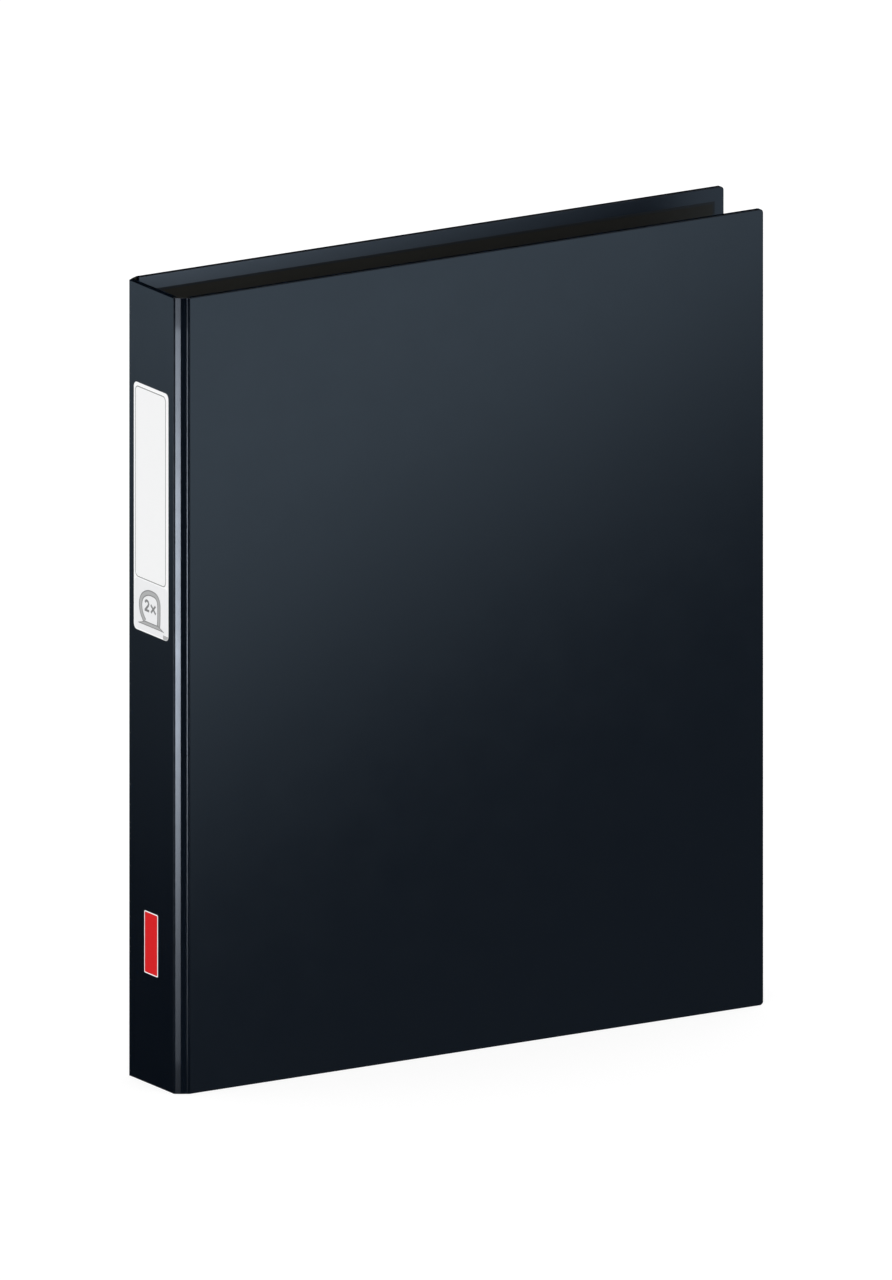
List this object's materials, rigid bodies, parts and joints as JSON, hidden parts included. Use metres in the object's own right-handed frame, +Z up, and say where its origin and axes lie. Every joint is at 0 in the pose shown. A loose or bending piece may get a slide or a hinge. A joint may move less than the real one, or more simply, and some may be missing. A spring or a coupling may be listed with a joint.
{
  "type": "ring binder",
  "caption": "Upright A4 ring binder with film-wrapped board covers, a labelled spine, film hinges and a D-ring mechanism that opens on sprung leaves.",
  "frame": {"origin": "centre of the bottom of the closed binder's bounding box, on the surface it stands on", "axes": "+Z up along the spine, +X from the spine to the fore-edge, +Y from the front cover to the back cover"},
  "size_m": [0.2718, 0.0408, 0.32],
  "materials": {
    "greyboard": "dense grey paperboard, matt",
    "wrap_film": "glossy polypropylene film",
    "liner_film": "satin film",
    "label_paper": "printed self-adhesive paper",
    "sticker_red": "plain red sticker with a thin white border",
    "nickel_steel": "nickel-plated steel",
    "zinc_steel": "zinc-plated steel",
    "nickel_wire": "nickel-plated steel wire"
  },
  "bodies": {
    "back_cover": {"back_board": "greyboard", "back_wrap": "wrap_film", "back_liner": "liner_film", "ring_housing": "nickel_steel", "rivet_upper": "nickel_steel", "rivet_lower": "nickel_steel"},
    "back_hinge": {"back_hinge_film": "wrap_film", "back_hinge_liner": "liner_film"},
    "spine": {"spine_board": "greyboard", "spine_wrap": "wrap_film", "spine_liner": "liner_film", "spine_label": "label_paper", "spine_sticker": "sticker_red"},
    "front_hinge": {"front_hinge_film": "wrap_film", "front_hinge_liner": "liner_film"},
    "front_cover": {"front_board": "greyboard", "front_wrap": "wrap_film", "front_liner": "liner_film"},
    "spine_side_rings": {"spine_side_leaf": "zinc_steel", "ring_curved_upper": "nickel_wire", "ring_curved_lower": "nickel_wire"},
    "page_side_rings": {"page_side_leaf": "zinc_steel", "ring_straight_upper": "nickel_wire", "ring_straight_lower": "nickel_wire"}
  },
  "joints": [
    {"name": "back_cover_fold", "type": "hinge", "parent": "back_cover", "child": "back_hinge", "pos_m": [-0.13053, 0.01935, 0.16], "axis": [0, 0, -1], "range_deg": [0, 64.8]},
    {"name": "back_spine_fold", "type": "hinge", "parent": "back_hinge", "child": "spine", "pos_m": [-0.13558, 0.01615, 0.16], "axis": [0, 0, -1], "range_deg": [0, 115.2]},
    {"name": "front_spine_fold", "type": "hinge", "parent": "spine", "child": "front_hinge", "pos_m": [-0.13558, -0.01695, 0.16], "axis": [0, 0, -1], "range_deg": [0, 115.2]},
    {"name": "front_cover_fold", "type": "hinge", "parent": "front_hinge", "child": "front_cover", "pos_m": [-0.13053, -0.02015, 0.16], "axis": [0, 0, -1], "range_deg": [0, 64.8]},
    {"name": "spine_side_ring_opening", "type": "hinge", "parent": "back_cover", "child": "spine_side_rings", "pos_m": [-0.11813, 0.0154, 0.16], "axis": [0, 0, -1], "range_deg": [0, 17]},
    {"name": "page_side_ring_opening", "type": "hinge", "parent": "back_cover", "child": "page_side_rings", "pos_m": [-0.09753, 0.0154, 0.16], "axis": [0, 0, 1], "range_deg": [0, 17]}
  ],
  "couplings": [
    {"joint": "page_side_ring_opening", "follows": "spine_side_ring_opening", "ratio": 1}
  ]
}
